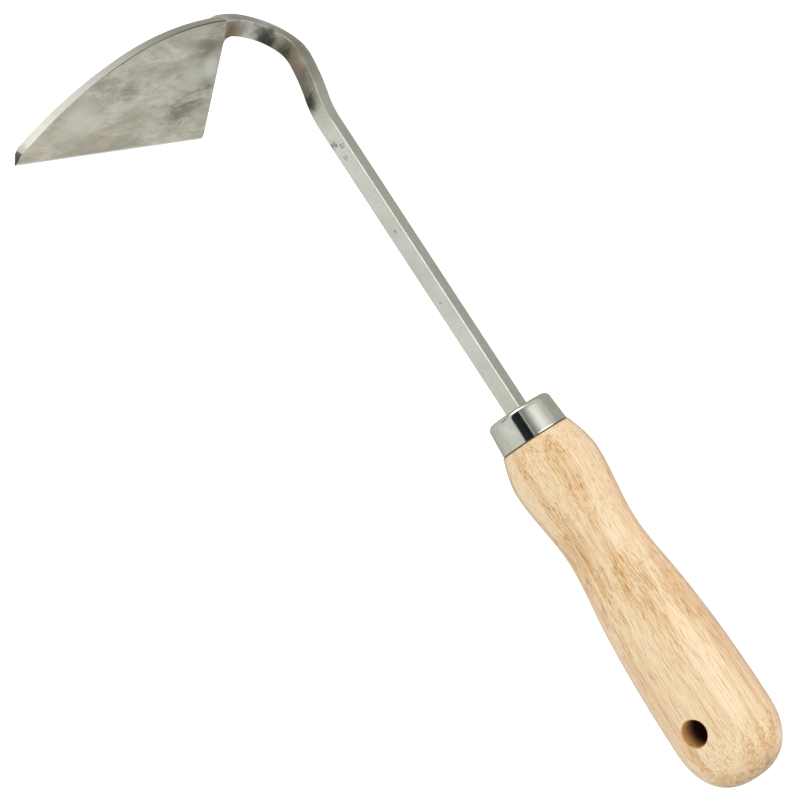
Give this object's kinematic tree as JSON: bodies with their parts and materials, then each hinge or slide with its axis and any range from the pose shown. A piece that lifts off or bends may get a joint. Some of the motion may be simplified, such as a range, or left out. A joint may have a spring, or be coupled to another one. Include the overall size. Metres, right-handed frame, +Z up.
{
  "type": "hand hoe",
  "caption": "Gooseneck hand hoe: turned wooden handle with a ferrule, square steel shank and a pointed plate blade set across the neck.",
  "frame": {"origin": "centre of the hanging hole, on the handle's axis", "axes": "+X along the handle towards the head, +Y to the side that the blade hangs to, +Z up with the hoe lying on its side and the blade's face towards +Z"},
  "size_m": [0.3136, 0.1125, 0.0484],
  "materials": {
    "wood": "clear gloss varnish over pale hardwood with short brown streaks",
    "resin": "cured epoxy",
    "ferrule_steel": "polished",
    "bar_steel": "satin, with heat tint at the bends",
    "weld_steel": "ground and dressed",
    "blade_steel": "cloudy satin"
  },
  "bodies": {
    "root": {"handle": "wood", "tang_resin": "resin", "ferrule": "ferrule_steel", "shank": "bar_steel", "neck_weld": "weld_steel", "blade": "blade_steel"}
  },
  "joints": []
}
